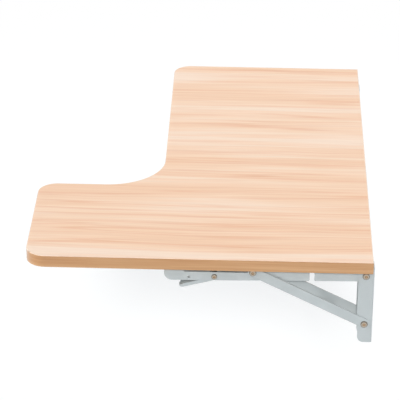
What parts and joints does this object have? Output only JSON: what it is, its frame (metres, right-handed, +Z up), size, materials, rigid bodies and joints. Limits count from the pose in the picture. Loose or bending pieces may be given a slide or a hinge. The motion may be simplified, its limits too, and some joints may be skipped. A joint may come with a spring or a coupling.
{
  "type": "wall mounted drop leaf table",
  "caption": "Wall mounted drop leaf table: an L shaped wood faced leaf with rounded corners, carried by folding steel brackets with struts and spring release levers.",
  "frame": {"origin": "centre of the four outer wall screw holes of the two legs, on the wall plane", "axes": "+X along the wall to the right of a person who faces it, +Y into the wall, +Z up; the leaf reaches out along -Y"},
  "size_m": [0.7, 0.503, 0.14],
  "materials": {
    "laminate": "satin beech grain laminate",
    "chipboard": "raw chipboard",
    "edge_band": "satin beech grain edge band",
    "bracket_paint": "pale grey baked paint",
    "rivet_metal": "copper toned plated rivet",
    "plain_steel": "bright zinc plated steel"
  },
  "bodies": {
    "wall_brackets": {"right_wall_leg": "bracket_paint", "left_wall_leg": "bracket_paint", "right_hinge_rivet": "rivet_metal", "left_hinge_rivet": "rivet_metal", "right_strut_rivet": "rivet_metal", "left_strut_rivet": "rivet_metal"},
    "leaf": {"tabletop_core": "chipboard", "top_laminate": "laminate", "underside_laminate": "laminate", "edge_band": "edge_band", "rear_edge_band": "edge_band", "right_support_arm": "bracket_paint", "left_support_arm": "bracket_paint", "right_board_screws": "plain_steel", "left_board_screws": "plain_steel", "right_lever_rivet": "rivet_metal", "left_lever_rivet": "rivet_metal", "right_lever_spring": "plain_steel", "left_lever_spring": "plain_steel"},
    "right_brace": {"right_strut": "bracket_paint", "right_strut_end_rivets": "rivet_metal"},
    "left_brace": {"left_strut": "bracket_paint", "left_strut_end_rivets": "rivet_metal"},
    "right_slider": {"right_slide_pin": "plain_steel"},
    "left_slider": {"left_slide_pin": "plain_steel"},
    "right_lever": {"right_release_lever": "bracket_paint"},
    "left_lever": {"left_release_lever": "bracket_paint"}
  },
  "joints": [
    {"name": "leaf_fold", "type": "hinge", "parent": "wall_brackets", "child": "leaf", "pos_m": [0, -0.012, 0.057], "axis": [1, 0, 0], "range_deg": [0, 86.5]},
    {"name": "right_strut_swing", "type": "hinge", "parent": "wall_brackets", "child": "right_brace", "pos_m": [0.319, -0.012, -0.021], "axis": [1, 0, 0], "range_deg": [0, 110.42]},
    {"name": "right_pin_slide", "type": "slide", "parent": "leaf", "child": "right_slider", "axis": [0, -1, 0], "range_m": [0, 0.09658]},
    {"name": "right_lever_press", "type": "hinge", "parent": "leaf", "child": "right_lever", "pos_m": [0.319, -0.23083, 0.0501], "axis": [-1, 0, 0], "range_deg": [0, 8.5], "stiffness_Nm_per_rad": 0.3, "springref_deg": -20.05, "deforming": ["right_lever_spring"]},
    {"name": "left_strut_swing", "type": "hinge", "parent": "wall_brackets", "child": "left_brace", "pos_m": [-0.319, -0.012, -0.021], "axis": [1, 0, 0], "range_deg": [0, 110.42]},
    {"name": "left_pin_slide", "type": "slide", "parent": "leaf", "child": "left_slider", "axis": [0, -1, 0], "range_m": [0, 0.09658]},
    {"name": "left_lever_press", "type": "hinge", "parent": "leaf", "child": "left_lever", "pos_m": [-0.319, -0.23083, 0.0501], "axis": [-1, 0, 0], "range_deg": [0, 8.5], "stiffness_Nm_per_rad": 0.3, "springref_deg": -20.05, "deforming": ["left_lever_spring"]}
  ],
  "couplings": [
    {"joint": "right_strut_swing", "follows": "leaf_fold", "ratio": 1.2765},
    {"joint": "right_pin_slide", "follows": "leaf_fold", "m_per_rad": 0.063966},
    {"joint": "left_strut_swing", "follows": "leaf_fold", "ratio": 1.2765},
    {"joint": "left_pin_slide", "follows": "leaf_fold", "m_per_rad": 0.063966}
  ]
}
